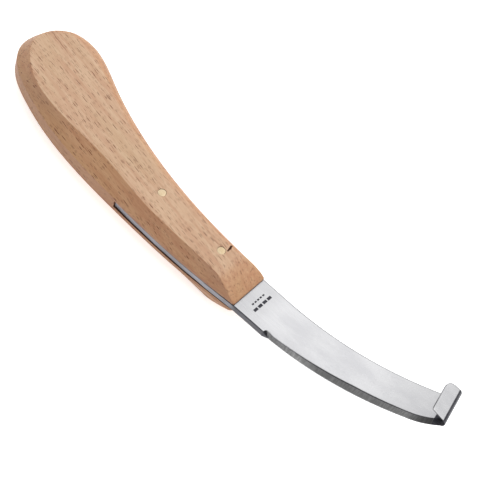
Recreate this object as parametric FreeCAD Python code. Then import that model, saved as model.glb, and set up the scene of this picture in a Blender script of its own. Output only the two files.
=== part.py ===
import FreeCAD, Part
import math
import os

# Hoof (hook) knife lying on its side: a beech handle slotted from its front and lower edge, one steel
# blade whose tang lies in that slot, and two brass rivets through wood and tang.
#
# Millimetres. X runs from the butt towards the hook, Y across the blade towards its blunt back, Z up.
# The origin is on the handle's lower broad face, halfway between the two rivets.

V = FreeCAD.Vector

# ---- driving dimensions ----
HANDLE_THICK = 18.0          # between the two broad faces
HANDLE_FRONT = 32.0          # X of the wood's front edge
LAND_HALF = 3.2              # half height of the upright strip round the edge, above and below mid height
NOSE_START = 2.0             # the wood's nose stays upright this far above and below mid height

BLADE_THICK = 3.0            # at the tang
TIP_THICK = 1.3              # at the hook
SLOT_PLAY = 0.4              # gap over the tang in the slot
SLOT_END_PLAY = 0.25         # gap round the tang's inner edges

TANG_REAR = -26.5            # inner end of the tang
TANG_REAR_Y = -10.8          # its lower edge there
TANG_BELLY = (3.0, -11.9)    # lowest point of its lower edge, flush with the wood
TANG_BEND_X = -17.0          # X where its back begins to round off
TANG_BEND = (-22.6, 3.0)     # a point on that rounded part
TANG_CORNER_Y = -5.0         # where it runs into the inner end
BACK_Y = 6.0                 # blade back where it leaves the wood
BELLY_Y = -10.6              # blade's lower edge there
EDGE_Y = -9.7                # cutting edge where the bevel begins
HEEL_X = 46.0                # X where the full-width root ends
HEEL_STEP = 2.5              # length of the ground run-out at the heel
EDGE_LAND = 0.3              # thickness left at the cutting edge
BEVEL_HEEL = 0.4             # width of the bevel just past the heel
BEVEL_TOE = 2.3              # and from BEVEL_FULL_X on
BEVEL_FULL_X = 84.0
HEEL_BITE = 1.3              # how far the grinding wheel bit into the upper face at the heel

BEND_START = 44.0            # X where the blade starts to rise and to curve
BEND_END = 104.0             # X where it runs on straight to the hook
BEND_RADIUS = 200.0          # of the blade's upper face, seen from the side
BACK_RADIUS = 300.0          # of the blade's back, seen from above
EDGE_RADIUS = 282.0          # of its cutting edge

TOE_START = 106.0            # X where the cutting edge starts to curve up under the hook
TOE_ROUND = 0.022            # how fast it does
FLARE_START = 107.5          # X where the back starts to widen into the hook
BACK_FLARE = 0.145           # how fast it does

FOLD_X = 114.2               # middle of the line where the hook begins
FOLD_Y = 8.6
FOLD_SKEW = 16.0             # degrees between that line and the Y axis
FOLD_TURN = 142.0            # degrees that the strip is folded through
FOLD_RADIUS = 0.7            # inside
FLAP_LENGTH = 5.2            # straight end of the hook, past the fold
FLAP_TAPER = 0.7             # how much the flap narrows at the cutting edge's side
FLAP_CORNER = 2.8            # radius of its corner on the blade's back side

RIVET_HALF_SPACING = 15.5
RIVET_Y = (0.5, -1.2)        # rear, front
RIVET_RADIUS = 1.45
RIVET_HEAD_RADIUS = 1.6
RIVET_FLARE = 0.8            # depth of the spread end
RIVET_PLAY = 0.05            # radial

MID = HANDLE_THICK / 2.0
BLADE_LOW = MID - BLADE_THICK / 2.0
BLADE_TOP = MID + BLADE_THICK / 2.0
BEND_ANGLE = math.asin((BEND_END - BEND_START) / BEND_RADIUS)
SPARE = 30.0                 # how far cutting tools and uncut stock reach past the part

# Heights above mid plane at which the handle's outline is drawn.
EDGE_LEVELS = [LAND_HALF, 4.7, 6.1, 7.3, 8.2, 8.75, MID]
STRIP_LEVELS = [-LAND_HALF, -1.6, 0.0, 1.6, LAND_HALF]


# ---- small helpers ----
def line(a, b):
    return Part.LineSegment(a, b).toShape()


def joined(edges):
    """One closed wire from edges given in any order."""
    return Part.Wire(Part.sortEdges(edges)[0])


# ---- handle ----
# Two outlines seen from above: the girth at mid height, and the edge of the broad faces. They have the
# same number of points, in the same order: lower edge from the front, round butt, back to the front.
GIRTH = [(HANDLE_FRONT, -10.7), (10.0, -12.1), (-20.0, -11.7), (-45.0, -10.0), (-68.0, -6.0), (-82.0, -1.4),
         (-92.1, 4.1), (-96.8, 10.6), (-96.8, 18.2), (-93.6, 25.0), (-88.0, 30.3), (-80.0, 32.1),
         (-61.0, 25.3), (-38.0, 16.4), (-13.0, 10.4), (8.0, 7.6), (HANDLE_FRONT, 6.3)]

BROAD = [(21.0, -9.4), (4.0, -8.8), (-20.0, -7.4), (-40.0, -4.2), (-60.0, -3.1), (-76.0, -0.6),
         (-86.8, 4.8), (-92.2, 10.6), (-93.2, 16.5), (-90.3, 21.6), (-84.5, 24.2), (-77.0, 23.6),
         (-60.0, 18.2), (-38.0, 9.8), (-13.0, 4.2), (6.0, 2.2), (21.0, 1.6)]

# How round the side is at each point: 0 for the flat facet of the lower edge, 1 for the round back.
ROUNDNESS = [0.0] * 8 + [0.1, 0.7] + [1.0] * 7


def lengths_along(points):
    """Distance along a row of points, up to each one."""
    total = [0.0]
    for (x0, y0), (x1, y1) in zip(points, points[1:]):
        total.append(total[-1] + math.hypot(x1 - x0, y1 - y0))
    return total


def facet_share(height):
    return max(0.0, (abs(height) - LAND_HALF) / (MID - LAND_HALF))


def round_share(height):
    return 1.0 - math.sqrt(max(0.0, 1.0 - (height / MID) ** 2))


def nose_share(height):
    return max(0.0, (abs(height) - NOSE_START) / (MID - NOSE_START)) ** 1.3


def outline_wire(height):
    """The handle's outline at a height above or below its mid plane."""
    points = []
    for i, (girth, broad, roundness) in enumerate(zip(GIRTH, BROAD, ROUNDNESS)):
        side = facet_share(height) * (1.0 - roundness) + round_share(height) * roundness
        along = nose_share(height) if i in (0, len(GIRTH) - 1) else side
        points.append(V(girth[0] + along * (broad[0] - girth[0]),
                        girth[1] + side * (broad[1] - girth[1]), MID + height))
    curve = Part.BSplineCurve()
    curve.interpolate(Points=points, Parameters=lengths_along(GIRTH))
    return Part.Wire([curve.toShape(), line(points[-1], points[0])])


def tang_inner_edges(play=0.0):
    """The tang's hidden edges from above: along the back, round the inner end, down to the lower edge."""
    back = V(TANG_BEND_X, BACK_Y + play, 0)
    rear = V(TANG_REAR - play, TANG_CORNER_Y, 0)
    middle = V(TANG_BEND[0] - play, TANG_BEND[1], 0)
    return [line(V(HANDLE_FRONT, BACK_Y + play, 0), back),
            Part.Arc(back, middle, rear).toShape(),
            line(rear, V(TANG_REAR - play, TANG_REAR_Y, 0))]


def slot_solid():
    """The saw slot, open at the front and along the handle's lower edge."""
    rear = V(TANG_REAR - SLOT_END_PLAY, TANG_REAR_Y, 0)
    corners = [rear, V(rear.x, BELLY_Y - SPARE, 0), V(HANDLE_FRONT + SPARE, BELLY_Y - SPARE, 0),
               V(HANDLE_FRONT + SPARE, BACK_Y + SLOT_END_PLAY, 0), V(HANDLE_FRONT, BACK_Y + SLOT_END_PLAY, 0)]
    edges = tang_inner_edges(SLOT_END_PLAY) + [line(a, b) for a, b in zip(corners, corners[1:])]
    slot = Part.Face(joined(edges)).extrude(V(0, 0, BLADE_THICK + SLOT_PLAY))
    slot.translate(V(0, 0, BLADE_LOW))
    return slot


def rivet_solid(x, y, play=0.0):
    """A pin with both ends spread into a shallow cone, flush with the broad faces."""
    shank = RIVET_RADIUS + play
    head = RIVET_HEAD_RADIUS + play
    profile = [V(0, 0, 0), V(head, 0, 0), V(shank, 0, RIVET_FLARE), V(shank, 0, HANDLE_THICK - RIVET_FLARE),
               V(head, 0, HANDLE_THICK), V(0, 0, HANDLE_THICK)]
    face = Part.Face(Part.makePolygon(profile + [profile[0]]))
    solid = face.revolve(V(0, 0, 0), V(0, 0, 1), 360)
    solid.translate(V(x, y, 0))
    return solid


def rivet_places():
    return {"rivet_rear": (-RIVET_HALF_SPACING, RIVET_Y[0]), "rivet_front": (RIVET_HALF_SPACING, RIVET_Y[1])}


def make_handle():
    """Three lofts, so that the facets keep a crisp edge to the upright strip; then the slot and the holes."""
    levels = [[-h for h in reversed(EDGE_LEVELS)], STRIP_LEVELS, EDGE_LEVELS]
    layers = [Part.makeLoft([outline_wire(h) for h in heights], True, False) for heights in levels]
    body = layers[0].fuse(layers[1:]).removeSplitter()
    body = body.cut(slot_solid())
    for x, y in rivet_places().values():
        body = body.cut(rivet_solid(x, y, RIVET_PLAY))
    return body


# ---- blade ----
def bend_rise(x):
    """How far the blade's upper face has risen at X."""
    reach = min(x, BEND_END) - BEND_START
    if reach <= 0.0:
        return 0.0
    return BEND_RADIUS - math.sqrt(BEND_RADIUS ** 2 - reach ** 2) + max(0.0, x - BEND_END) * math.tan(BEND_ANGLE)


def thickness_at(x):
    share = min(1.0, max(0.0, (x - BEND_START) / (BEND_END - BEND_START)))
    return BLADE_THICK + share * (TIP_THICK - BLADE_THICK)


def back_y(x):
    """The blade's back from above: an even curve, then a slight flare into the hook."""
    flare = max(0.0, x - FLARE_START)
    return BACK_Y + max(0.0, x - BEND_START) ** 2 / (2.0 * BACK_RADIUS) + BACK_FLARE * flare ** 2


def edge_y(x):
    """The cutting edge from above: the blade's even curve, then a rounded toe below the hook."""
    toe = max(0.0, x - TOE_START)
    return EDGE_Y + max(0.0, x - BEND_START) ** 2 / (2.0 * EDGE_RADIUS) + TOE_ROUND * toe ** 2


def side_profile():
    """The strip from the side: flat tang, even bend, straight end, thinner towards the hook."""
    middle = BEND_START + BEND_RADIUS * math.sin(BEND_ANGLE / 2.0)
    along = V(math.cos(BEND_ANGLE), 0, math.sin(BEND_ANGLE))
    down = V(math.sin(BEND_ANGLE), 0, -math.cos(BEND_ANGLE))
    half_down = V(math.sin(BEND_ANGLE / 2.0), 0, -math.cos(BEND_ANGLE / 2.0))
    top = [V(-SPARE, 0, BLADE_TOP), V(BEND_START, 0, BLADE_TOP),
           V(middle, 0, BLADE_TOP + bend_rise(middle)), V(BEND_END, 0, BLADE_TOP + bend_rise(BEND_END))]
    low = [V(-SPARE, 0, BLADE_LOW), V(BEND_START, 0, BLADE_LOW),
           top[2] + half_down * (0.5 * (BLADE_THICK + TIP_THICK)), top[3] + down * TIP_THICK]
    top_end = top[3] + along * SPARE
    low_end = low[3] + along * SPARE
    edges = [line(top[0], top[1]), Part.Arc(top[1], top[2], top[3]).toShape(), line(top[3], top_end),
             line(top_end, low_end), line(low_end, low[3]), Part.Arc(low[3], low[2], low[1]).toShape(),
             line(low[1], low[0]), line(low[0], top[0])]
    return Part.Face(Part.Wire(edges))


def curve_through(points):
    curve = Part.BSplineCurve()
    curve.interpolate(Points=points)
    return curve.toShape()


def blade_outline():
    """The whole blade from above, past the fold line at its far end."""
    far = FOLD_X + 5.0
    tang_low = Part.Arc(V(TANG_REAR, TANG_REAR_Y, 0), V(*TANG_BELLY, 0), V(HANDLE_FRONT, BELLY_Y, 0)).toShape()
    back_start = V(BEND_START, BACK_Y, 0)
    back = [V(x, back_y(x), 0) for x in (BEND_START, 70.0, 90.0, FLARE_START, 110.0, 113.0, far)]
    heel = V(HEEL_X, BELLY_Y, 0)
    edge = [V(x, edge_y(x), 0) for x in (HEEL_X + HEEL_STEP, 75.0, TOE_START, 112.0, far)]
    edges = [line(V(HANDLE_FRONT, BELLY_Y, 0), heel), line(heel, edge[0]), curve_through(edge),
             line(edge[-1], back[-1]), curve_through(back[::-1]), line(back_start, V(HANDLE_FRONT, BACK_Y, 0))]
    return joined(edges + tang_inner_edges() + [tang_low])


def bevel_width(x):
    share = min(1.0, (x - HEEL_X - HEEL_STEP) / (BEVEL_FULL_X - HEEL_X - HEEL_STEP))
    return BEVEL_HEEL + max(0.0, share) * (BEVEL_TOE - BEVEL_HEEL)


def bevel_section(x, edge, width):
    """What is ground off at one X: below a slope from the upper face down to the edge's thickness."""
    slope = math.atan2(bend_rise(x + 0.5) - bend_rise(x - 0.5), 1.0)
    top = BLADE_TOP + bend_rise(x)
    low = top - thickness_at(x) / math.cos(slope) + EDGE_LAND
    over = top + (top - low)
    outer = BELLY_Y - SPARE
    points = [V(x, edge, low), V(x, edge + 2.0 * width, over), V(x, outer, over), V(x, outer, low)]
    return Part.makePolygon(points + [points[0]])


def bevel_tool():
    """The ground bevel's tool: a short bite at the heel, then the long even bevel."""
    heel = [bevel_section(HEEL_X - 0.5, BELLY_Y - 0.2, 0.1),
            bevel_section(HEEL_X + 1.0, edge_y(HEEL_X), HEEL_BITE),
            bevel_section(HEEL_X + HEEL_STEP, edge_y(HEEL_X), HEEL_BITE * 0.8),
            bevel_section(HEEL_X + 2.0 * HEEL_STEP, edge_y(HEEL_X), 0.05)]
    stations = (HEEL_X + 0.5, 52.0, 62.0, 73.0, BEVEL_FULL_X, 95.0, TOE_START, 112.0, 118.0)
    bevel = [bevel_section(x, edge_y(x), bevel_width(x)) for x in stations]
    return [Part.makeLoft(heel, True, True), Part.makeLoft(bevel, True, False)]


def fold_frame():
    """At the middle of the fold line, on the upper face: along the strip, along the fold, and up."""
    profile = V(math.cos(BEND_ANGLE), 0, math.sin(BEND_ANGLE))
    up = V(-math.sin(BEND_ANGLE), 0, math.cos(BEND_ANGLE))
    skew = math.radians(FOLD_SKEW)
    along = profile * math.cos(skew) + V(0, 1, 0) * math.sin(skew)
    across = V(0, 1, 0) * math.cos(skew) - profile * math.sin(skew)
    return V(FOLD_X, FOLD_Y, BLADE_TOP + bend_rise(FOLD_X)), along, across, up


def strip_to_fold():
    """Everything before the hook, with its bevel."""
    base, along, across, up = fold_frame()
    outline = Part.Face(blade_outline()).extrude(V(0, 0, HANDLE_THICK + SPARE))
    profile = side_profile()
    profile.translate(V(0, -SPARE, 0))
    strip = profile.extrude(V(0, 3.0 * SPARE, 0)).common(outline).cut(bevel_tool())
    width = across * 3.0 * SPARE
    height = up * 2.0 * SPARE
    corner = base - (width + height) * 0.5
    end_plane = Part.makePolygon([corner, corner + width, corner + width + height, corner + height, corner])
    return strip.cut(Part.Face(end_plane).extrude(along * SPARE))


def end_face(solid, point, normal):
    """The flat face of a solid that lies on a given plane."""
    for face in solid.Faces:
        middle = face.CenterOfMass
        if abs((middle - point).dot(normal)) < 1e-4 and abs(face.normalAt(0, 0).dot(normal)) > 0.9999:
            return face
    raise ValueError("no face on that plane")


def flap_solid(root, along, across, outward):
    """The hook's straight end: it narrows towards its free edge, with one rounded corner."""
    reach = [(vertex.Point - root.CenterOfMass).dot(across) for vertex in root.Vertexes]
    low, high = min(reach), max(reach)
    base = root.CenterOfMass - outward * TIP_THICK * 2.0

    def place(side, length):
        return base + across * side + along * length

    diagonal = FLAP_CORNER * math.sqrt(0.5)
    turn_side, turn_length = high - FLAP_CORNER, FLAP_LENGTH - FLAP_CORNER
    turn_middle = place(turn_side + diagonal, turn_length + diagonal)
    start, end = place(high, turn_length), place(turn_side, FLAP_LENGTH)
    edges = [line(place(low, 0), place(high, 0)), line(place(high, 0), start),
             Part.Arc(start, turn_middle, end).toShape(),
             line(end, place(low + FLAP_TAPER, FLAP_LENGTH)),
             line(place(low + FLAP_TAPER, FLAP_LENGTH), place(low, 0))]
    shape = Part.Face(Part.Wire(edges)).extrude(outward * TIP_THICK * 4.0)
    return root.extrude(along * FLAP_LENGTH).common(shape)


def make_blade():
    base, along, across, up = fold_frame()
    strip = strip_to_fold()
    axis_point = base + up * FOLD_RADIUS
    fold = end_face(strip, base, along).revolve(axis_point, across * -1.0, FOLD_TURN)
    turn = math.radians(FOLD_TURN)
    flap_along = along * math.cos(turn) + up * math.sin(turn)
    outward = along * math.sin(turn) - up * math.cos(turn)
    flap = flap_solid(end_face(fold, axis_point, flap_along), flap_along, across, outward)
    blade = strip.fuse([fold, flap]).removeSplitter()
    for x, y in rivet_places().values():
        blade = blade.cut(rivet_solid(x, y, RIVET_PLAY))
    return blade


def main():
    os.makedirs("parts", exist_ok=True)
    shapes = {"handle": make_handle(), "blade": make_blade()}
    for name, (x, y) in rivet_places().items():
        shapes[name] = rivet_solid(x, y)
    for name, shape in shapes.items():
        box = shape.BoundBox
        print(name, shape.isValid(), len(shape.Solids), round(shape.Volume, 1),
              [round(v, 2) for v in (box.XMin, box.YMin, box.ZMin, box.XMax, box.YMax, box.ZMax)])
        shape.exportStep("parts/%s.step" % name)


main()
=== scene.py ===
import math

import bmesh
import bpy
import numpy as np
from mathutils import Matrix, Vector


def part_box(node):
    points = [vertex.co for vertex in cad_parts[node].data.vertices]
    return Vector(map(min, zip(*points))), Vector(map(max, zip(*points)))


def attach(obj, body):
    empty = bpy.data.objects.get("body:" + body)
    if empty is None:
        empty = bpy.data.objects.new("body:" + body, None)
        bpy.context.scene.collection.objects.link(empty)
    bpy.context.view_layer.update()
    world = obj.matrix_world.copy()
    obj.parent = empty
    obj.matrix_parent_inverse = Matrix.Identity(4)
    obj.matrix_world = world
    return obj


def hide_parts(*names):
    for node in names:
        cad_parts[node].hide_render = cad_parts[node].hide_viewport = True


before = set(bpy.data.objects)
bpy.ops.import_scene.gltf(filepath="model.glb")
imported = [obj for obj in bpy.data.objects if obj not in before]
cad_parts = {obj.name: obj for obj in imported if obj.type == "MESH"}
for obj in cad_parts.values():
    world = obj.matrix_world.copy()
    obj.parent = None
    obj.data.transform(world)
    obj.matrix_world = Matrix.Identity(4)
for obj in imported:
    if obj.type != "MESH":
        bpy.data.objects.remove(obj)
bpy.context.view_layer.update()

# A farrier's hoof knife lying on its side. Lengths are millimetres in the CAD model's frame until
# to_object() makes a mesh in metres: +X towards the hook, +Y towards the blade's blunt back, +Z up.
MM = 0.001

CAMERA_TARGET = (14.3, 12.6, 9.0)
CAMERA_DISTANCE = 1.0
CAMERA_RIGHT = (0.72676, 0.66245, 0.18159)
CAMERA_UP = (-0.64056, 0.55818, 0.52738)
FLOOR_REACH = 3.0
FLOOR_GLOW = 0.66            # keeps the pale floor white under the knife


def box_mm(node):
    """Lowest and highest corner of a CAD node."""
    low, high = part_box(node)
    return low / MM, high / MM


def linear(red, green, blue):
    """A colour given as 8-bit sRGB, in the linear values that shader sockets take."""
    def one(value):
        share = value / 255.0
        return share / 12.92 if share <= 0.04045 else ((share + 0.055) / 1.055) ** 2.4
    return (one(red), one(green), one(blue), 1.0)


# ---- camera, light and floor ----
def look_matrix(place, right, up):
    """World matrix of a camera at a place, from its own right and up directions."""
    back = right.cross(up)
    rows = [(right[i], up[i], back[i], place[i]) for i in range(3)]
    return Matrix(rows + [(0.0, 0.0, 0.0, 1.0)])


def add_camera():
    """A long lens, from above the cutting edge's side."""
    data = bpy.data.cameras.new("camera")
    data.sensor_width = 36.0
    data.lens = 207.0
    data.clip_start = 0.05
    data.clip_end = 10.0
    camera = bpy.data.objects.new("camera", data)
    bpy.context.scene.collection.objects.link(camera)
    right = Vector(CAMERA_RIGHT).normalized()
    up = Vector(CAMERA_UP)
    up = (up - right * up.dot(right)).normalized()
    place = Vector(CAMERA_TARGET) * MM + right.cross(up) * CAMERA_DISTANCE
    camera.matrix_world = look_matrix(place, right, up)
    bpy.context.scene.camera = camera


def add_area_light(name, direction, distance, size, power):
    """A soft rectangle that shines on the origin from a direction."""
    data = bpy.data.lights.new(name, "AREA")
    data.shape = "RECTANGLE"
    data.size, data.size_y = size
    data.energy = power
    light = bpy.data.objects.new(name, data)
    bpy.context.scene.collection.objects.link(light)
    away = Vector(direction).normalized()
    light.location = away * distance
    light.rotation_euler = away.to_track_quat("Z", "Y").to_euler()


def add_light():
    world = bpy.data.worlds.new("studio")
    world.use_nodes = True
    background = world.node_tree.nodes["Background"]
    background.inputs["Color"].default_value = (1.0, 1.0, 1.0, 1.0)
    background.inputs["Strength"].default_value = 0.36
    bpy.context.scene.world = world
    add_area_light("key", (-0.26, 0.6, 0.78), 1.6, (3.8, 2.0), 26.5)
    add_area_light("fill", (0.5, 0.12, 0.86), 1.3, (1.1, 1.1), 7.5)


def add_floor():
    mesh = bpy.data.meshes.new("floor")
    corners = [(x * FLOOR_REACH, y * FLOOR_REACH, 0.0) for x, y in ((-1, -1), (1, -1), (1, 1), (-1, 1))]
    mesh.from_pydata(corners, [], [(0, 1, 2, 3)])
    floor = bpy.data.objects.new("floor", mesh)
    bpy.context.scene.collection.objects.link(floor)
    material = bpy.data.materials.new("floor")
    material.use_nodes = True
    shader = material.node_tree.nodes["Principled BSDF"]
    shader.inputs["Base Color"].default_value = (0.9, 0.9, 0.9, 1.0)
    shader.inputs["Roughness"].default_value = 0.9
    shader.inputs["Specular IOR Level"].default_value = 0.1
    shader.inputs["Emission Color"].default_value = (1.0, 1.0, 1.0, 1.0)
    shader.inputs["Emission Strength"].default_value = FLOOR_GLOW
    mesh.materials.append(material)


# ---- node helpers ----
class Nodes:
    """Short ways to add shader nodes to one material."""

    def __init__(self, name):
        self.material = bpy.data.materials.new(name)
        self.material.use_nodes = True
        self.tree = self.material.node_tree
        self.shader = self.tree.nodes["Principled BSDF"]

    def link(self, source, target):
        self.tree.links.new(source, target)

    def put(self, socket, value):
        if isinstance(value, bpy.types.NodeSocket):
            self.link(value, socket)
        else:
            socket.default_value = value

    def math(self, operation, first, second=0.0, clamp=False):
        node = self.tree.nodes.new("ShaderNodeMath")
        node.operation = operation
        node.use_clamp = clamp
        self.put(node.inputs[0], first)
        self.put(node.inputs[1], second)
        return node.outputs[0]

    def ramp(self, value, start, end, low=0.0, high=1.0):
        """low up to start, then a smooth step to high at end."""
        node = self.tree.nodes.new("ShaderNodeMapRange")
        node.interpolation_type = "SMOOTHSTEP"
        self.put(node.inputs["Value"], value)
        node.inputs["From Min"].default_value = start
        node.inputs["From Max"].default_value = end
        node.inputs["To Min"].default_value = low
        node.inputs["To Max"].default_value = high
        return node.outputs["Result"]

    def mix(self, share, first, second, blend="MIX"):
        node = self.tree.nodes.new("ShaderNodeMix")
        node.data_type = "RGBA"
        node.blend_type = blend
        self.put(node.inputs["Factor"], share)
        self.put(node.inputs["A"], first)
        self.put(node.inputs["B"], second)
        return node.outputs["Result"]

    def place(self, turn=0.0, scale=(1.0, 1.0, 1.0)):
        """Object coordinates in millimetres, turned about Z in degrees, then scaled."""
        coordinates = self.tree.nodes.new("ShaderNodeTexCoord")
        turned = self.tree.nodes.new("ShaderNodeMapping")
        turned.inputs["Rotation"].default_value = (0.0, 0.0, math.radians(turn))
        turned.inputs["Scale"].default_value = (1000.0, 1000.0, 1000.0)
        scaled = self.tree.nodes.new("ShaderNodeVectorMath")
        scaled.operation = "MULTIPLY"
        scaled.inputs[1].default_value = scale
        self.link(coordinates.outputs["Object"], turned.inputs["Vector"])
        self.link(turned.outputs["Vector"], scaled.inputs[0])
        return scaled.outputs["Vector"]

    def split(self, vector):
        node = self.tree.nodes.new("ShaderNodeSeparateXYZ")
        self.link(vector, node.inputs[0])
        return node.outputs

    def noise(self, vector, detail=2.0, roughness=0.5, scale=1.0):
        node = self.tree.nodes.new("ShaderNodeTexNoise")
        node.inputs["Scale"].default_value = scale
        node.inputs["Detail"].default_value = detail
        node.inputs["Roughness"].default_value = roughness
        self.link(vector, node.inputs["Vector"])
        return node.outputs["Fac"]

    def cells(self, vector):
        """Distance to the nearest of scattered points, and a random colour for each point."""
        node = self.tree.nodes.new("ShaderNodeTexVoronoi")
        node.inputs["Scale"].default_value = 1.0
        self.link(vector, node.inputs["Vector"])
        return node.outputs["Distance"], node.outputs["Color"]

    def levelness(self):
        """1 on level faces, 0 on upright ones."""
        coordinates = self.tree.nodes.new("ShaderNodeTexCoord")
        return self.math("ABSOLUTE", self.split(coordinates.outputs["Normal"])[2])

    def bump(self, height, distance, strength=1.0):
        node = self.tree.nodes.new("ShaderNodeBump")
        node.inputs["Strength"].default_value = strength
        node.inputs["Distance"].default_value = distance * MM
        self.link(height, node.inputs["Height"])
        self.link(node.outputs["Normal"], self.shader.inputs["Normal"])


# ---- materials ----
GRAIN_TURN = 10.0            # degrees from the X axis to the wood's grain, towards -Y
CRACK_TURN = 13.0            # the same for the dark line at the butt
PALE_BAND = linear(210, 177, 146)
ROSY_BAND = linear(198, 157, 127)
YELLOW_PATCH = linear(201, 171, 136)
BROWN_FIBRE = linear(170, 123, 92)
FLECK_BROWN = linear(116, 70, 44)
SLANT_PAINTED_SHADE = (0.9, 0.76, 0.64, 1.0)      # painted shade: slanting faces are darker and redder
UPRIGHT_PAINTED_SHADE = (0.7, 0.63, 0.6, 1.0)     # painted shade: upright ones still darker


def flecks(nodes, scale, limit, rarity, seed):
    """Short dark flecks along the grain: a thin ellipse round some of the scattered points.

    Points whose random share is under the rarity get none; limit sets how large the others grow.
    """
    shifted = nodes.tree.nodes.new("ShaderNodeVectorMath")
    shifted.operation = "ADD"
    shifted.inputs[1].default_value = (seed, seed, seed)
    nodes.link(nodes.place(GRAIN_TURN, scale), shifted.inputs[0])
    distance, colour = nodes.cells(shifted.outputs["Vector"])
    random_share = nodes.split(colour)[0]
    reach = nodes.math("MULTIPLY", nodes.math("SUBTRACT", random_share, rarity), limit)
    depth = nodes.math("SUBTRACT", reach, distance)
    return nodes.ramp(depth, 0.0, 0.05)


def butt_crack(nodes):
    """A hair-thin dark grain line that runs in from the butt's end on the upper broad face."""
    along, across, height = nodes.split(nodes.place(CRACK_TURN))
    wander = nodes.math("MULTIPLY", nodes.noise(nodes.place(CRACK_TURN, (0.5, 0.1, 0.1))), 0.7)
    off = nodes.math("ABSOLUTE", nodes.math("SUBTRACT", nodes.math("ADD", across, wander), 0.3))
    thin = nodes.ramp(off, 0.2, 0.04)
    span = nodes.math("MULTIPLY", nodes.ramp(along, -96.5, -93.0), nodes.ramp(along, -81.5, -86.0))
    upper = nodes.math("MULTIPLY", nodes.ramp(height, 9.0, 11.0), 0.75)
    return nodes.math("MULTIPLY", nodes.math("MULTIPLY", thin, span), upper)


def beech():
    """Steamed beech: long bands and fine fibres along the grain, with many short dark flecks, and painted
    shade on its slanting and upright faces.
    """
    nodes = Nodes("beech")
    streaks = nodes.noise(nodes.place(GRAIN_TURN, (0.035, 0.55, 0.55)), 4.0, 0.6)
    fibres = nodes.noise(nodes.place(GRAIN_TURN, (0.25, 4.5, 4.5)), 3.0, 0.6)
    patches = nodes.noise(nodes.place(GRAIN_TURN, (0.02, 0.09, 0.09)), 2.0, 0.5)
    colour = nodes.mix(nodes.ramp(streaks, 0.36, 0.66), PALE_BAND, ROSY_BAND)
    colour = nodes.mix(nodes.ramp(patches, 0.45, 0.65, 0.0, 0.55), colour, YELLOW_PATCH)
    colour = nodes.mix(nodes.ramp(fibres, 0.42, 0.75, 0.0, 0.5), colour, BROWN_FIBRE)
    # Painted shade: faces are darkened and reddened by how far they turn from level, upright faces darker
    # still.
    level = nodes.levelness()
    slant_shaded = nodes.mix(1.0, colour, SLANT_PAINTED_SHADE, "MULTIPLY")
    colour = nodes.mix(nodes.ramp(level, 0.997, 0.84), colour, slant_shaded)
    upright = nodes.mix(1.0, colour, UPRIGHT_PAINTED_SHADE, "MULTIPLY")
    colour = nodes.mix(nodes.ramp(level, 0.8, 0.1), colour, upright)
    small = flecks(nodes, (0.42, 4.4, 2.0), 1.15, 0.52, 0.0)
    large = flecks(nodes, (0.26, 3.8, 1.6), 2.1, 0.77, 17.3)
    marks = nodes.math("MAXIMUM", nodes.math("MULTIPLY", small, 0.5), large)
    marks = nodes.math("MAXIMUM", marks, butt_crack(nodes))
    colour = nodes.mix(marks, colour, FLECK_BROWN)
    nodes.link(colour, nodes.shader.inputs["Base Color"])
    nodes.link(nodes.ramp(fibres, 0.3, 0.8, 0.46, 0.62), nodes.shader.inputs["Roughness"])
    nodes.shader.inputs["Specular IOR Level"].default_value = 0.35
    relief = nodes.math("SUBTRACT", nodes.math("MULTIPLY", fibres, 0.5), marks)
    nodes.bump(relief, 0.03, 0.7)
    return nodes.material


def dark_wood():
    """Inside of the slot, the holes and the nick: sawn fibres with saw marks, in a dark brown that is
    painted shade in these recesses.
    """
    nodes = Nodes("sawn_beech_painted_shade")
    teeth = nodes.noise(nodes.place(0.0, (3.0, 0.4, 3.0)), 3.0, 0.6)
    # Painted shade: the wood in these recesses is far darker than on the broad faces.
    colour = nodes.mix(nodes.ramp(teeth, 0.3, 0.7), linear(120, 74, 46), linear(78, 46, 30))
    nodes.link(colour, nodes.shader.inputs["Base Color"])
    nodes.shader.inputs["Roughness"].default_value = 0.85
    nodes.bump(teeth, 0.05, 0.8)
    return nodes.material


def metal(name, light, dark, stretch, roughness, lines, painted_shade_fades=()):
    """Steel or brass with fine finishing lines along the axis that stretch leaves small.

    lines is the share of those lines in the colour; the rest of its change is cloudy.
    Each fade is painted shade along X: (X where it starts to darken, X where it is darkest, how much is
    left there).
    """
    nodes = Nodes(name)
    fine = nodes.noise(nodes.place(0.0, stretch), 3.0, 0.65)
    cloudy = nodes.noise(nodes.place(0.0, (0.06, 0.16, 0.16)), 2.0, 0.5)
    fine_part = nodes.math("MULTIPLY", fine, lines)
    cloudy_part = nodes.math("MULTIPLY", cloudy, 1.0 - lines)
    shade = nodes.math("ADD", fine_part, cloudy_part)
    colour = nodes.mix(nodes.ramp(shade, 0.35, 0.65), light, dark)
    x = nodes.split(nodes.place())[0]
    # Painted shade and painted dark reflection: the colour darkens along X.
    for start, end, left in painted_shade_fades:
        shaded_colour = nodes.mix(1.0, colour, (left, left, left, 1.0), "MULTIPLY")
        colour = nodes.mix(nodes.ramp(x, start, end), colour, shaded_colour)
    nodes.link(colour, nodes.shader.inputs["Base Color"])
    gloss = nodes.ramp(fine, 0.3, 0.7, roughness - 0.05, roughness + 0.07)
    nodes.link(gloss, nodes.shader.inputs["Roughness"])
    nodes.shader.inputs["Metallic"].default_value = 1.0
    nodes.bump(fine, 0.004, 0.5)
    return nodes.material


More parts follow.
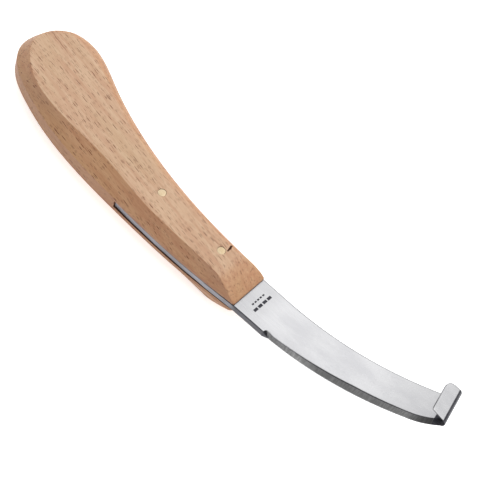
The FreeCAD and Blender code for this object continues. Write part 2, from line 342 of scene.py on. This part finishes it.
# ---- mesh helpers ----
def to_object(name, points, faces, materials, sharp_degrees, face_materials=None):
    """A mesh object in metres from points in millimetres, smooth but for edges sharper than an angle."""
    mesh = bpy.data.meshes.new(name)
    mesh.from_pydata([tuple(coordinate * MM for coordinate in point) for point in points], [], faces)
    for material in materials:
        mesh.materials.append(material)
    if face_materials:
        mesh.polygons.foreach_set("material_index", face_materials)
    piece = bpy.data.objects.new(name, mesh)
    bpy.context.scene.collection.objects.link(piece)
    smooth(piece, sharp_degrees)
    return piece


def smooth(piece, sharp_degrees):
    bm = bmesh.new()
    bm.from_mesh(piece.data)
    bmesh.ops.recalc_face_normals(bm, faces=bm.faces)
    bm.to_mesh(piece.data)
    bm.free()
    piece.data.shade_smooth()
    piece.data.set_sharp_from_angle(angle=math.radians(sharp_degrees))


def cut(piece, cutters, sharp_degrees):
    """Take the cutters away from a piece; what they cut gets their own material."""
    for cutter in cutters:
        modifier = piece.modifiers.new(cutter.name, "BOOLEAN")
        modifier.object = cutter
        modifier.operation = "DIFFERENCE"
        modifier.solver = "EXACT"
        modifier.material_mode = "TRANSFER"
    shaped = piece.evaluated_get(bpy.context.evaluated_depsgraph_get())
    mesh = bpy.data.meshes.new_from_object(shaped)
    mesh.name = piece.name
    piece.modifiers.clear()
    piece.data = mesh
    for cutter in cutters:
        bpy.data.objects.remove(cutter)
    smooth(piece, sharp_degrees)


def prism(name, outline, low, high, material):
    """A closed upright prism over an outline in plan."""
    count = len(outline)
    points = [(x, y, low) for x, y in outline] + [(x, y, high) for x, y in outline]
    faces = [tuple(range(count))[::-1], tuple(range(count, 2 * count))]
    faces += [(i, (i + 1) % count, (i + 1) % count + count, i + count) for i in range(count)]
    return to_object(name, points, faces, [material], 30.0)


def turned(name, centre, profile, count, material, wobble=0.0):
    """A solid of revolution about an upright axis; profile is (radius, z) from the bottom up.

    wobble is the share by which the outline departs from a circle.
    """
    points = []
    for radius, z in profile:
        for i in range(count):
            angle = 2.0 * math.pi * i / count
            r = radius * (1.0 + wobble * (math.sin(3.0 * angle + 0.6) + 0.6 * math.sin(5.0 * angle)))
            points.append((centre[0] + r * math.cos(angle), centre[1] + r * math.sin(angle), z))
    faces = [tuple(range(count))[::-1]]
    for row in range(len(profile) - 1):
        for i in range(count):
            a, b = row * count + i, row * count + (i + 1) % count
            faces.append((a, b, b + count, a + count))
    faces.append(tuple(range((len(profile) - 1) * count, len(profile) * count)))
    return to_object(name, points, faces, [material], 40.0)


def bezier(start, control, end, share):
    return start * (1 - share) ** 2 + control * (2 * share * (1 - share)) + end * share ** 2


# ---- rivets ----
SHANK_RADIUS, HOLE_RADIUS, HOLE_MOUTH = 1.45, 1.5, 1.66
RIVET_FLARE = 0.8            # depth of the spread end
HEAD_DOME = 0.12             # how far a head's middle stands above its rim
REAR_WOBBLE, FRONT_WOBBLE = 0.022, 0.008     # how uneven the heads' rims are


def rivet_centres():
    """Plan centre of each rivet, from the CAD model."""
    found = {}
    for node in ("rivet_rear", "rivet_front"):
        low, high = box_mm(node)
        found[node] = ((low + high) * 0.5).xy
    return found


def hole_cutter(name, centre, top, material):
    """A rivet hole through everything from Z 0 to top, wider at both mouths."""
    mouth = 0.02
    profile = [(HOLE_MOUTH, -1.0), (HOLE_MOUTH, mouth), (HOLE_RADIUS, RIVET_FLARE)]
    profile += [(HOLE_RADIUS, top - RIVET_FLARE), (HOLE_MOUTH, top - mouth), (HOLE_MOUTH, top + 1.0)]
    return turned(name, centre, profile, 40, material)


def add_rivets(brass):
    for node, centre in rivet_centres().items():
        low, high = box_mm(node)
        head = (high.x - low.x) / 2.0
        bottom = [(head * share, low.z + HEAD_DOME * share ** 2) for share in (0.3, 0.6, 0.85)]
        side = [(head, low.z + 0.3), (SHANK_RADIUS, low.z + RIVET_FLARE),
                (SHANK_RADIUS, high.z - RIVET_FLARE), (head, high.z - 0.3)]
        top = [(head * share, high.z - HEAD_DOME * share ** 2) for share in (0.97, 0.85, 0.6, 0.3)]
        profile = bottom + side + top
        wobble = REAR_WOBBLE if node == "rivet_rear" else FRONT_WOBBLE
        piece = turned(node + "_brass", centre, profile, 40, brass, -wobble)
        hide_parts(node)
        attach(piece, "root")


# ---- handle ----
# Two outlines in plan, in the same order: the girth at mid height and the edge of the broad faces.
GIRTH = [(32.0, -10.7), (10.0, -12.1), (-20.0, -11.7), (-45.0, -10.0), (-68.0, -6.0), (-82.0, -1.4),
         (-92.1, 4.1), (-96.8, 10.6), (-96.8, 18.2), (-93.6, 25.0), (-88.0, 30.3), (-80.0, 32.1),
         (-61.0, 25.3), (-38.0, 16.4), (-13.0, 10.4), (8.0, 7.6), (32.0, 6.3)]
BROAD = [(21.0, -9.4), (4.0, -8.8), (-20.0, -7.4), (-40.0, -4.2), (-60.0, -3.1), (-76.0, -0.6),
         (-86.8, 4.8), (-92.2, 10.6), (-93.2, 16.5), (-90.3, 21.6), (-84.5, 24.2), (-77.0, 23.6),
         (-60.0, 18.2), (-38.0, 9.8), (-13.0, 4.2), (6.0, 2.2), (21.0, 1.6)]
# How round the side is at each of their points: 0 for the flat facet, 1 for the round back.
ROUNDNESS = [0.0] * 8 + [0.1, 0.7] + [1.0] * 7
MID = 9.0                    # half the handle's thickness
LAND_HALF = 3.2              # half height of the upright strip round the lower edge
NOSE_START = 2.0             # the nose stays upright this far above and below mid height
NOSE_REACH = 22.0            # how far from the front end the outline still follows the nose
FACE_INSET = 0.12            # the flat face starts this share of the side's width inside its edge
OUTLINE_STEPS = 291
WOOD_SHARP = 32.0            # degrees; sharper edges of the wood stay crisp
SLOT_TOP = 10.9
SLOT_PLAY = 0.25             # round the tang's hidden edges
NICK_DEPTH = 1.1


def spline(knots, values, places):
    """Natural cubic spline through one row of values per knot."""
    step = np.diff(knots)
    count = len(knots)
    system = np.eye(count)
    right = np.zeros_like(values)
    slope = np.diff(values, axis=0) / step[:, None]
    for i in range(1, count - 1):
        system[i, i - 1:i + 2] = step[i - 1], 2.0 * (step[i - 1] + step[i]), step[i]
        right[i] = 6.0 * (slope[i] - slope[i - 1])
    curve = np.linalg.solve(system, right)
    i = np.clip(np.searchsorted(knots, places, side="right") - 1, 0, count - 2)
    u = (places - knots[i])[:, None]
    h = step[i][:, None]
    v = h - u
    return ((curve[i] * v ** 3 + curve[i + 1] * u ** 3) / (6.0 * h)
            + (values[i] / h - curve[i] * h / 6.0) * v + (values[i + 1] / h - curve[i + 1] * h / 6.0) * u)


def rounded_top(height, zone, overrun, share):
    """A side's share near the broad face: share() below the zone, eased over the edge inside it."""
    drop = MID - abs(height)
    if drop >= zone:
        return share(MID - drop)
    t = math.sqrt(drop / zone)
    return overrun * (1 - t) ** 2 + 2 * t * (1 - t) + share(MID - zone) * t * t


def facet_share(height):
    return rounded_top(height, 0.2, 1.05, lambda h: max(0.0, (h - LAND_HALF) / (MID - LAND_HALF)))


def nose_share(height):
    return rounded_top(height, 1.2, 1.2, lambda h: max(0.0, (h - NOSE_START) / (MID - NOSE_START)) ** 1.3)


def round_share(height):
    return 1.0 - math.sqrt(max(0.0, 1.0 - (height / MID) ** 2))


def handle_levels():
    """Heights from mid plane, close together near the broad faces, from the top down."""
    upper = [MID - 1.1 * (i / 8.0) ** 2 for i in range(9)]
    upper += [7.4, 6.8, 6.1, 5.4, 4.7, 4.0, 3.4, LAND_HALF, 2.4, 1.2]
    return upper + [0.0] + [-height for height in reversed(upper)]


def handle_loop(height, inset, girth, broad, roundness, end_share):
    """The closed outline at one level: the long curve, then the front end with rounded corners."""
    side = facet_share(height) * (1.0 - roundness) + round_share(height) * roundness
    side = side * (1.0 + inset * (1.0 - 0.5 * roundness))
    nose = nose_share(height) * (1.0 + inset)
    along = side * (1.0 - end_share) + nose * end_share
    x = girth[:, 0] + along * (broad[:, 0] - girth[:, 0])
    y = girth[:, 1] + side * (broad[:, 1] - girth[:, 1])
    curve = [Vector(point) for point in zip(x, y)]
    first, last = curve[0], curve[-1]
    radius = 0.9                 # of the corners between the sides and the front end
    across = (first - last).normalized()
    corner_end = bend_corner(curve[-2] + (last - curve[-2]) * 0.3, last, last + across * radius)
    corner_start = bend_corner(first - across * radius, first, first + (curve[1] - first) * 0.7)
    front = [last + across * radius + (first - last - across * 2 * radius) * (i / 8.0) for i in range(1, 8)]
    return curve[1:-1] + corner_end + front + corner_start


def bend_corner(start, corner, end):
    return [bezier(start, corner, end, i / 5.0) for i in range(6)]


def fit(values, low, high):
    """Stretch values evenly so that they just fill the CAD model's extent."""
    least, most = values.min(), values.max()
    return low + (values - least) * (high - low) / (most - least)


def handle_points():
    """Points of the handle's surface, level by level, with the number of levels and points in one."""
    girth, broad = np.array(GIRTH), np.array(BROAD)
    knots = np.concatenate([[0.0], np.cumsum(np.hypot(*np.diff(girth, axis=0).T))])
    places = np.linspace(0.0, knots[-1], OUTLINE_STEPS)
    roundness = np.clip(np.interp(places, knots, ROUNDNESS), 0.0, 1.0)
    end_share = np.clip(1.0 - np.minimum(places, knots[-1] - places) / NOSE_REACH, 0.0, 1.0)
    girth, broad = spline(knots, girth, places), spline(knots, broad, places)
    heights = handle_levels()
    levels = [(height, 0.0) for height in heights]
    levels = [(heights[0], FACE_INSET)] + levels + [(heights[-1], FACE_INSET)]
    rows = [handle_loop(height, inset, girth, broad, roundness, end_share) for height, inset in levels]
    points = np.array([(p.x, p.y, MID + level[0]) for level, row in zip(levels, rows) for p in row])
    low, high = box_mm("handle")
    points[:, 0] = fit(points[:, 0], low.x, high.x)
    points[:, 1] = fit(points[:, 1], low.y, high.y)
    return points, len(rows), len(rows[0])


def add_handle(wood, sawn):
    points, rows, count = handle_points()
    faces = [tuple(range(count)), tuple(range((rows - 1) * count, rows * count))[::-1]]
    for row in range(rows - 1):
        for i in range(count):
            a, b = row * count + i, row * count + (i + 1) % count
            faces.append((a, a + count, b + count, b))
    piece = to_object("handle_beech", points, faces, [wood], WOOD_SHARP)
    top = box_mm("handle")[1].z
    cutters = [prism("slot", slot_outline(), BLADE_LOW, SLOT_TOP, sawn),
               prism("nick", nick_outline(), top - NICK_DEPTH, top + 1.0, sawn)]
    cutters += [hole_cutter("hole_" + node, centre, top, sawn) for node, centre in rivet_centres().items()]
    cut(piece, cutters, WOOD_SHARP)
    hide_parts("handle")
    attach(piece, "root")


def tang_inner_outline(play):
    """The tang's hidden outline in plan, from its back at the wood's front to its lower rear corner."""
    back = Vector((TANG_BEND_X, BACK_Y + play))
    middle = Vector((-22.6 - play, 3.0))
    rear = Vector((TANG_REAR - play, -5.0))
    control = middle * 2.0 - (back + rear) * 0.5
    turn = [bezier(back, control, rear, i / 10.0) for i in range(11)]
    return [Vector((HANDLE_FRONT, BACK_Y + play))] + turn


def slot_outline():
    """The tang's hidden edges, then far out past the wood's front end and its lower edge."""
    far_x, far_y = 60.0, -40.0
    inner = [tuple(point) for point in tang_inner_outline(SLOT_PLAY)]
    return [(far_x, far_y), (far_x, BACK_Y + SLOT_PLAY)] + inner + [(TANG_REAR - SLOT_PLAY, far_y)]


def nick_outline():
    """A thin wedge-shaped chip beside the front rivet, across the grain."""
    return [(17.0, 0.1), (16.2, 3.2), (16.7, 3.75), (17.5, 1.9), (17.4, 0.2)]


# ---- blade ----
BLADE_LOW, BLADE_TOP = 7.5, 10.5
TIP_THICK = 1.3
HANDLE_FRONT = 32.0          # X of the wood's front edge
TANG_REAR, TANG_BEND_X = -26.5, -17.0
TANG_REAR_Y, TANG_PULL_Y = -10.8, -13.1      # the tang's lower edge: rear end, and what bends it
BACK_Y, BELLY_Y, EDGE_Y = 6.0, -10.6, -9.7
HEEL_X, HEEL_STEP = 46.0, 2.5
BEVEL_TOE, BEVEL_FULL_X = 2.3, 84.0
BEVEL_HEEL = 0.4
EDGE_LAND = 0.3              # thickness left at the cutting edge
SOFT_CORNER = 0.38           # size of the strip's rounded corners
HEEL_RISE, HEEL_LEAN = 1.204, 0.345          # slopes of the ground run-out along X and Y
BEND_START, BEND_END, BEND_RADIUS = 44.0, 104.0, 200.0
BACK_RADIUS, EDGE_RADIUS = 300.0, 282.0
TOE_START, TOE_ROUND = 106.0, 0.022
FLARE_START, BACK_FLARE = 107.5, 0.145
FOLD_X, FOLD_Y = 114.15, 8.6
FOLD_SKEW, FOLD_TURN, FOLD_RADIUS = math.radians(16.0), math.radians(142.0), 0.7
FOLD_STEPS = 18
FLAP_LENGTH, FLAP_TAPER, FLAP_CORNER = 5.2, 0.7, 2.8
FLAP_THINNING = 0.35         # how much thinner the hook's free edge is
STEEL_SHARP = 28.0           # degrees; sharper edges of the steel stay crisp
BEND_ANGLE = math.asin((BEND_END - BEND_START) / BEND_RADIUS)
ALONG = Vector((math.cos(BEND_ANGLE), 0.0, math.sin(BEND_ANGLE)))
UP = Vector((-math.sin(BEND_ANGLE), 0.0, math.cos(BEND_ANGLE)))

# Columns of a cross-section's outline and the material of each run of them.
CORNER = 4                   # steps round each rounded corner
# The last material is near-black steel: painted shade and painted dark reflections.
SATIN, GROUND, SIDE, PAINTED_SHADE = 0, 1, 2, 3
CROOK_X = 111.2              # the cutting side is painted dark from here on, as shade under the hook


def rise(x):
    """How far the blade's upper face has risen at X."""
    reach = min(x, BEND_END) - BEND_START
    if reach <= 0.0:
        return 0.0
    straight = max(0.0, x - BEND_END) * math.tan(BEND_ANGLE)
    return BEND_RADIUS - math.sqrt(BEND_RADIUS ** 2 - reach ** 2) + straight


def slope_at(x):
    return math.asin(max(0.0, min(x, BEND_END) - BEND_START) / BEND_RADIUS)


def thickness_at(x):
    share = min(1.0, max(0.0, (x - BEND_START) / (BEND_END - BEND_START)))
    return (BLADE_TOP - BLADE_LOW) * (1.0 - share) + TIP_THICK * share


def back_y(x):
    """The blunt back in plan: the tang's hidden outline, then an even curve that flares into the hook."""
    if x < BEND_START:
        inner = tang_inner_outline(0.0)
        if x >= inner[1].x:
            return BACK_Y
        for a, b in zip(inner[1:], inner[2:]):
            if b.x <= x <= a.x:
                return a.y + (b.y - a.y) * (x - a.x) / (b.x - a.x)
        return inner[-1].y
    return BACK_Y + (x - BEND_START) ** 2 / (2 * BACK_RADIUS) + BACK_FLARE * max(0.0, x - FLARE_START) ** 2


def edge_y(x):
    """The lower edge in plan: tang belly, straight root, run-out at the heel, then the cutting edge."""
    if x <= HANDLE_FRONT:
        return bezier(TANG_REAR_Y, TANG_PULL_Y, BELLY_Y, (x - TANG_REAR) / (HANDLE_FRONT - TANG_REAR))
    if x <= HEEL_X:
        return BELLY_Y
    curve = (x - BEND_START) ** 2 / (2 * EDGE_RADIUS) + TOE_ROUND * max(0.0, x - TOE_START) ** 2
    run_out = min(1.0, (x - HEEL_X) / HEEL_STEP)
    return BELLY_Y + (EDGE_Y - BELLY_Y + curve) * run_out


def bevel_width(x):
    """Width in plan: the grinding wheel's bite at the heel, then the long even bevel."""
    share = min(1.0, max(0.0, (x - HEEL_X - HEEL_STEP) / (BEVEL_FULL_X - HEEL_X - HEEL_STEP)))
    bite = max(0.0, 1.0 - (x - HEEL_X - 0.6) / 4.4)
    return max(BEVEL_HEEL + share * (BEVEL_TOE - BEVEL_HEEL), 1.35 * bite)


def cutting_side(x, edge, thickness):
    """Outline points (y, depth) from the upper face down to the lower one, on the cutting side."""
    if x <= HEEL_X:
        soft = SOFT_CORNER
        upper = (Vector((edge + soft, 0.0)), Vector((edge, 0.0)), Vector((edge, soft)))
        low = (Vector((edge, thickness - soft)), Vector((edge, thickness)),
               Vector((edge + soft, thickness)))
        middle = [Vector((edge, soft + (thickness - 2 * soft) * share)) for share in (0.25, 0.5, 0.75)]
    else:
        width = bevel_width(x)
        floor = thickness - EDGE_LAND
        line = Vector((edge + width, 0.0))
        foot = Vector((edge, floor))
        ramp = HEEL_RISE * (x - HEEL_X)
        if x < HEEL_X + HEEL_STEP:
            if x < HEEL_X + 0.63:
                line = Vector((min(-8.4, BELLY_Y + 3.5 * (x - HEEL_X)), 0.0))
            foot = Vector((edge, max(0.1, min(floor, ramp - HEEL_LEAN * (edge - BELLY_Y)))))
            knee_depth = min(foot.y, max(0.06, ramp - HEEL_LEAN * 1.3))
            knee = line.lerp(Vector((EDGE_Y - 0.05, floor)), knee_depth / floor)
        else:
            knee = line.lerp(foot, 0.5)
        soft = 0.1
        upper = (line + Vector((soft, 0.0)), line, line.lerp(knee, 0.12))
        tight = 0.04
        low = (Vector((edge, thickness - tight)), Vector((edge, thickness)),
               Vector((edge + tight, thickness)))
        middle = [line.lerp(knee, 0.35), knee, foot]
    turn = [bezier(*upper, i / CORNER) for i in range(CORNER + 1)]
    turn_low = [bezier(*low, i / CORNER) for i in range(CORNER + 1)]
    return turn + middle + turn_low


def section(x, edge, back):
    """A whole cross-section as (y, depth), starting at the upper face's cutting side."""
    thickness = thickness_at(x)
    soft = min(SOFT_CORNER, thickness * 0.25)
    cutting = cutting_side(x, edge, thickness)
    low_start, low_end = cutting[-1], Vector((back - soft, thickness))
    lower = [low_start.lerp(low_end, i / 6.0) for i in range(1, 6)]
    corner = (low_end, Vector((back, thickness)), Vector((back, thickness - soft)))
    upper = (Vector((back, soft)), Vector((back, 0.0)), Vector((back - soft, 0.0)))
    turn = [bezier(*corner, i / CORNER) for i in range(CORNER + 1)]
    turn += [bezier(*upper, i / CORNER) for i in range(CORNER + 1)]
    top = [upper[2].lerp(cutting[0], i / 6.0) for i in range(1, 6)]
    return cutting + lower + turn + top


def column_materials(x):
    """Material of the faces between each outline point and the next, in section()'s order."""
    if x < HANDLE_FRONT:
        cutting = [PAINTED_SHADE] * CORNER + [SIDE] * (4 + CORNER)
    elif x < HEEL_X:
        cutting = [PAINTED_SHADE] * CORNER + [SIDE] * 4 + [PAINTED_SHADE] * CORNER
    elif x < HEEL_X + HEEL_STEP:
        cutting = [SATIN] * CORNER + [GROUND] * 2 + [PAINTED_SHADE] * 2 + [SIDE] * CORNER
    elif x < CROOK_X:
        cutting = [SATIN] * CORNER + [SIDE] + [GROUND] * 3 + [SIDE] * CORNER
    else:
        cutting = [PAINTED_SHADE] * (CORNER + 4) + [SIDE] * CORNER
    back = [SIDE] * (2 * CORNER + 1)
    return cutting + [SATIN] * 6 + back + [SATIN] * 5 + [PAINTED_SHADE if x >= CROOK_X else SATIN]


def strip_row(x_middle, skew):
    """One row of the strip's grid, as 3-D points; skew turns the row towards the fold's direction."""
    def station(y):
        return x_middle - (y - FOLD_Y) * math.tan(skew) * math.cos(BEND_ANGLE)

    edge, back = edge_y(x_middle), back_y(x_middle)
    for _ in range(8):
        edge, back = edge_y(station(edge)), back_y(station(back))
    row = []
    for y, depth in section(x_middle, edge, back):
        x = station(y)
        slope = slope_at(x)
        height = BLADE_TOP + rise(x) - depth * math.cos(slope)
        row.append(Vector((x + depth * math.sin(slope), y, height)))
    return row


def strip_rows():
    """The strip up to the fold, row by row along X, and the materials between the rows."""
    stations = list(np.linspace(TANG_REAR, TANG_BEND_X, 14))
    stations += [-5.0, 8.0, 20.0, 30.0, 40.0, BEND_START, 45.5, HEEL_X]
    stations += [46.12, 46.3, 46.63, 47.0, 47.5, 48.0, 48.5, 49.2, 50.0, 51.0]
    stations += list(np.arange(52.5, BEND_END, 1.5)) + list(np.linspace(BEND_END, FOLD_X, 14))
    rows = []
    for x in stations:
        skew = FOLD_SKEW * min(1.0, max(0.0, (x - BEND_END) / (FOLD_X - BEND_END)))
        rows.append(strip_row(float(x), skew))
    return rows, [column_materials(x) for x in stations[:-1]]


def fold_rows(last):
    """The strip folded over from its last row, then the hook's straight end."""
    base = Vector((FOLD_X, FOLD_Y, BLADE_TOP + rise(FOLD_X)))
    across = Vector((0.0, math.cos(FOLD_SKEW), 0.0)) - ALONG * math.sin(FOLD_SKEW)
    along = ALONG * math.cos(FOLD_SKEW) + Vector((0.0, math.sin(FOLD_SKEW), 0.0))
    axis = base + UP * FOLD_RADIUS
    rows = []
    for i in range(1, FOLD_STEPS + 1):
        turn = Matrix.Rotation(FOLD_TURN * i / FOLD_STEPS, 3, -across)
        rows.append([axis + turn @ (point - axis) for point in last])
    full_turn = Matrix.Rotation(FOLD_TURN, 3, -across)
    flap_along = full_turn @ along
    outward = flap_along.cross(across).normalized()
    end = rows[-1]
    middle = axis + full_turn @ (base - UP * TIP_THICK * 0.5 - axis)
    reach = [(point - middle).dot(across) for point in end]
    low, high = min(reach), max(reach)
    corner_angles = [math.radians(degrees) for degrees in (12, 24, 36, 48, 60, 70, 78, 84)]
    curved = [FLAP_LENGTH - FLAP_CORNER * (1 - math.sin(angle)) for angle in corner_angles]
    for length in [0.3, 1.0, 1.8, FLAP_LENGTH - FLAP_CORNER] + curved + [FLAP_LENGTH - 0.01]:
        past = max(0.0, length - (FLAP_LENGTH - FLAP_CORNER))
        new_high = high - (FLAP_CORNER - math.sqrt(max(0.0, FLAP_CORNER ** 2 - past ** 2)))
        new_low = low + FLAP_TAPER * length / FLAP_LENGTH
        pinch = 1.0 - FLAP_THINNING * max(0.0, (length - FLAP_LENGTH + 0.25) / 0.25) ** 2
        row = []
        for point, side in zip(end, reach):
            new_side = new_low + (side - low) / (high - low) * (new_high - new_low)
            depth = (point - middle).dot(outward)
            row.append(middle + across * new_side + outward * depth * pinch + flap_along * length)
        rows.append(row)
    return rows


MARK_DEPTH = 0.06
# Rows of bars: the row's X, where each bar starts in Y, the bars' length in Y and width in X.
MARK_ROWS = [(35.8, (-5.2, -3.8, -2.4, -1.0, 0.4), 0.9, 0.65), (37.8, (-6.6, -4.2, -1.8, 0.6), 1.9, 1.15)]


def mark_cutters(material):
    """A plain stamped mark near the handle: rows of short bars that spell nothing."""
    low, high = BLADE_TOP - MARK_DEPTH, BLADE_TOP + 1.0
    cutters = []
    for row, (x, starts, length, width) in enumerate(MARK_ROWS):
        for i, start in enumerate(starts):
            outline = [(x, start), (x + width, start), (x + width, start + length), (x, start + length)]
            cutters.append(prism("mark_%d_%d" % (row, i), outline, low, high, material))
    return cutters


def add_blade(materials, etched):
    strip, looks = strip_rows()
    folded = fold_rows(strip[-1])
    rows = strip + folded
    count = len(rows[0])
    # The whole fold gets the near-black steel as painted shade.
    looks += [[PAINTED_SHADE] * count] * FOLD_STEPS
    looks += [column_materials(BEND_END)] * (len(folded) - FOLD_STEPS)
    faces = [tuple(range(count)), tuple(range((len(rows) - 1) * count, len(rows) * count))[::-1]]
    indices = [SIDE, PAINTED_SHADE]
    for row in range(len(rows) - 1):
        for i in range(count):
            a, b = row * count + i, row * count + (i + 1) % count
            faces.append((a, b, b + count, a + count))
            indices.append(looks[row][i])
    points = [point for row in rows for point in row]
    piece = to_object("blade_steel", points, faces, materials, STEEL_SHARP, indices)
    top = 2.0 * MID
    cutters = [hole_cutter("hole_" + node, centre, top, materials[SIDE])
               for node, centre in rivet_centres().items()]
    cut(piece, cutters + mark_cutters(etched), STEEL_SHARP)
    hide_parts("blade")
    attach(piece, "root")


def steels():
    """The blade's materials, in the order of SATIN, GROUND, SIDE and PAINTED_SHADE."""
    # Painted shade on the satin face: darker towards the handle and towards the hook.
    satin = metal("satin_steel", (0.57, 0.57, 0.58, 1), (0.5, 0.5, 0.515, 1), (0.05, 5.0, 5.0), 0.3, 0.35,
                  [(46.0, 36.0, 0.89), (80.0, 114.0, 0.82)])
    # The bevel's darker colour is partly its ground finish and partly painted dark reflection; its fades
    # towards the heel and the hook are painted shade.
    ground = metal("ground_steel", (0.48, 0.48, 0.485, 1), (0.27, 0.27, 0.27, 1), (2.4, 0.3, 0.3),
                   0.34, 0.75, [(74.0, 52.0, 0.34), (101.0, 113.0, 0.3)])
    # The edges' dark colour is partly unpolished steel and partly painted dark reflection; past the
    # handle's front it is painted darker still.
    side = metal("edge_steel", (0.3, 0.3, 0.33, 1), (0.2, 0.2, 0.22, 1), (0.3, 5.0, 5.0), 0.4, 0.5,
                 [(30.0, 33.0, 0.4)])
    # Painted shade and painted dark reflections: near-black steel for the fold, under the hook and some
    # rounded corners.
    dark = metal("painted_shade_steel", (0.12, 0.12, 0.13, 1), (0.05, 0.05, 0.06, 1), (0.4, 3.0, 3.0), 0.36, 0.5)
    return [satin, ground, side, dark]


def main():
    bpy.context.scene.view_settings.view_transform = "Standard"
    add_camera()
    add_light()
    add_floor()
    add_handle(beech(), dark_wood())
    etched = metal("etched_mark", (0.07, 0.07, 0.08, 1), (0.04, 0.04, 0.05, 1), (4.0, 4.0, 4.0), 0.6, 0.5)
    add_blade(steels(), etched)
    add_rivets(metal("brass", linear(207, 189, 160), linear(190, 166, 130), (3.0, 3.0, 3.0), 0.4, 0.5))


main()
